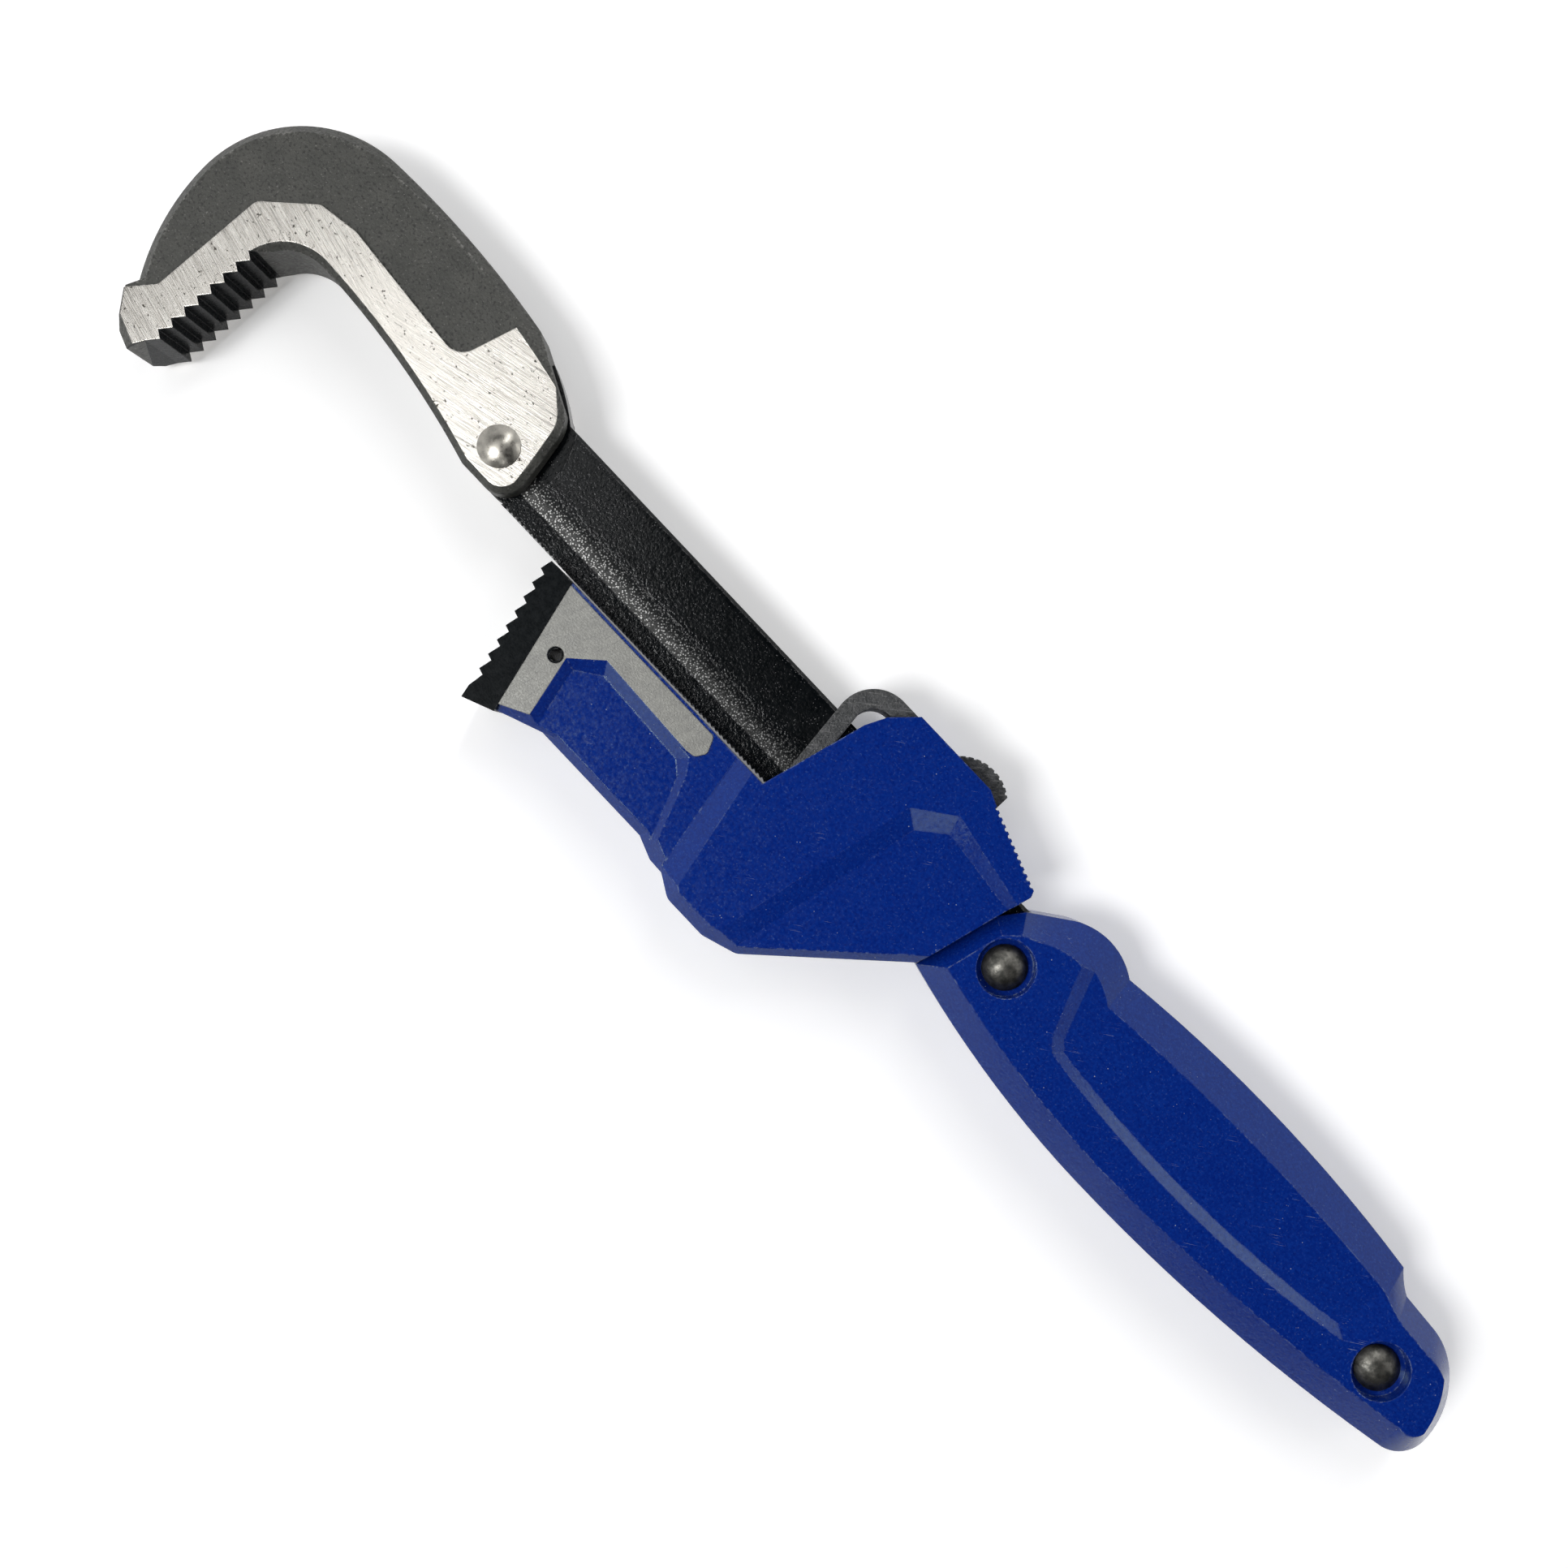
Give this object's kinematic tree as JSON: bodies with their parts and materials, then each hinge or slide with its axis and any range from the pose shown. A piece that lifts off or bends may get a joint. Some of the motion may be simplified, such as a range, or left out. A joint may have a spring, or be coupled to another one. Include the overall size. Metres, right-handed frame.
{
  "type": "pipe wrench",
  "caption": "Quick-adjusting pipe wrench: forked hook jaw on a rack bar, sliding heel jaw with a thumb release, and a riveted two-piece handle.",
  "frame": {"origin": "on the bar's axis, on the flat back face of the slider's sleeve, with the slider against the handle", "axes": "+X along the bar towards the hook jaw, +Y towards the side where the jaws open, +Z out of the front face"},
  "size_m": [0.3585, 0.0691, 0.024],
  "materials": {
    "black_bar": "black wrinkle paint on forged steel",
    "blue_paint": "royal blue gloss paint on a casting",
    "rivet_steel": "bare steel",
    "forged_steel": "forged steel with ground faces",
    "black_steel": "hardened steel, black oxide",
    "lever_steel": "dark oiled steel"
  },
  "bodies": {
    "frame": {"bar": "black_bar", "handle_front": "blue_paint", "handle_back": "blue_paint", "handle_rivet_top": "rivet_steel", "handle_rivet_end": "rivet_steel"},
    "hook": {"hook_jaw": "forged_steel", "hook_rivet": "rivet_steel"},
    "slider": {"slider_body": "blue_paint", "heel_jaw": "black_steel", "heel_jaw_pin": "rivet_steel", "lever_spring": "lever_steel"},
    "lever": {"release_lever": "lever_steel"}
  },
  "joints": [
    {"name": "slider_slide", "type": "slide", "parent": "frame", "child": "slider", "axis": [1, 0, 0], "range_m": [0, 0.072]},
    {"name": "hook_pivot", "type": "hinge", "parent": "frame", "child": "hook", "pos_m": [0.0965, 0.0029, 0.012], "axis": [0, 0, 1], "range_deg": [0, 6]},
    {"name": "lever_press", "type": "hinge", "parent": "slider", "child": "lever", "pos_m": [0.0062, 0.013, 0.012], "axis": [0, 0, -1], "range_deg": [0, 7], "stiffness_Nm_per_rad": 4, "springref_deg": -4.3, "deforming": ["lever_spring"]}
  ]
}
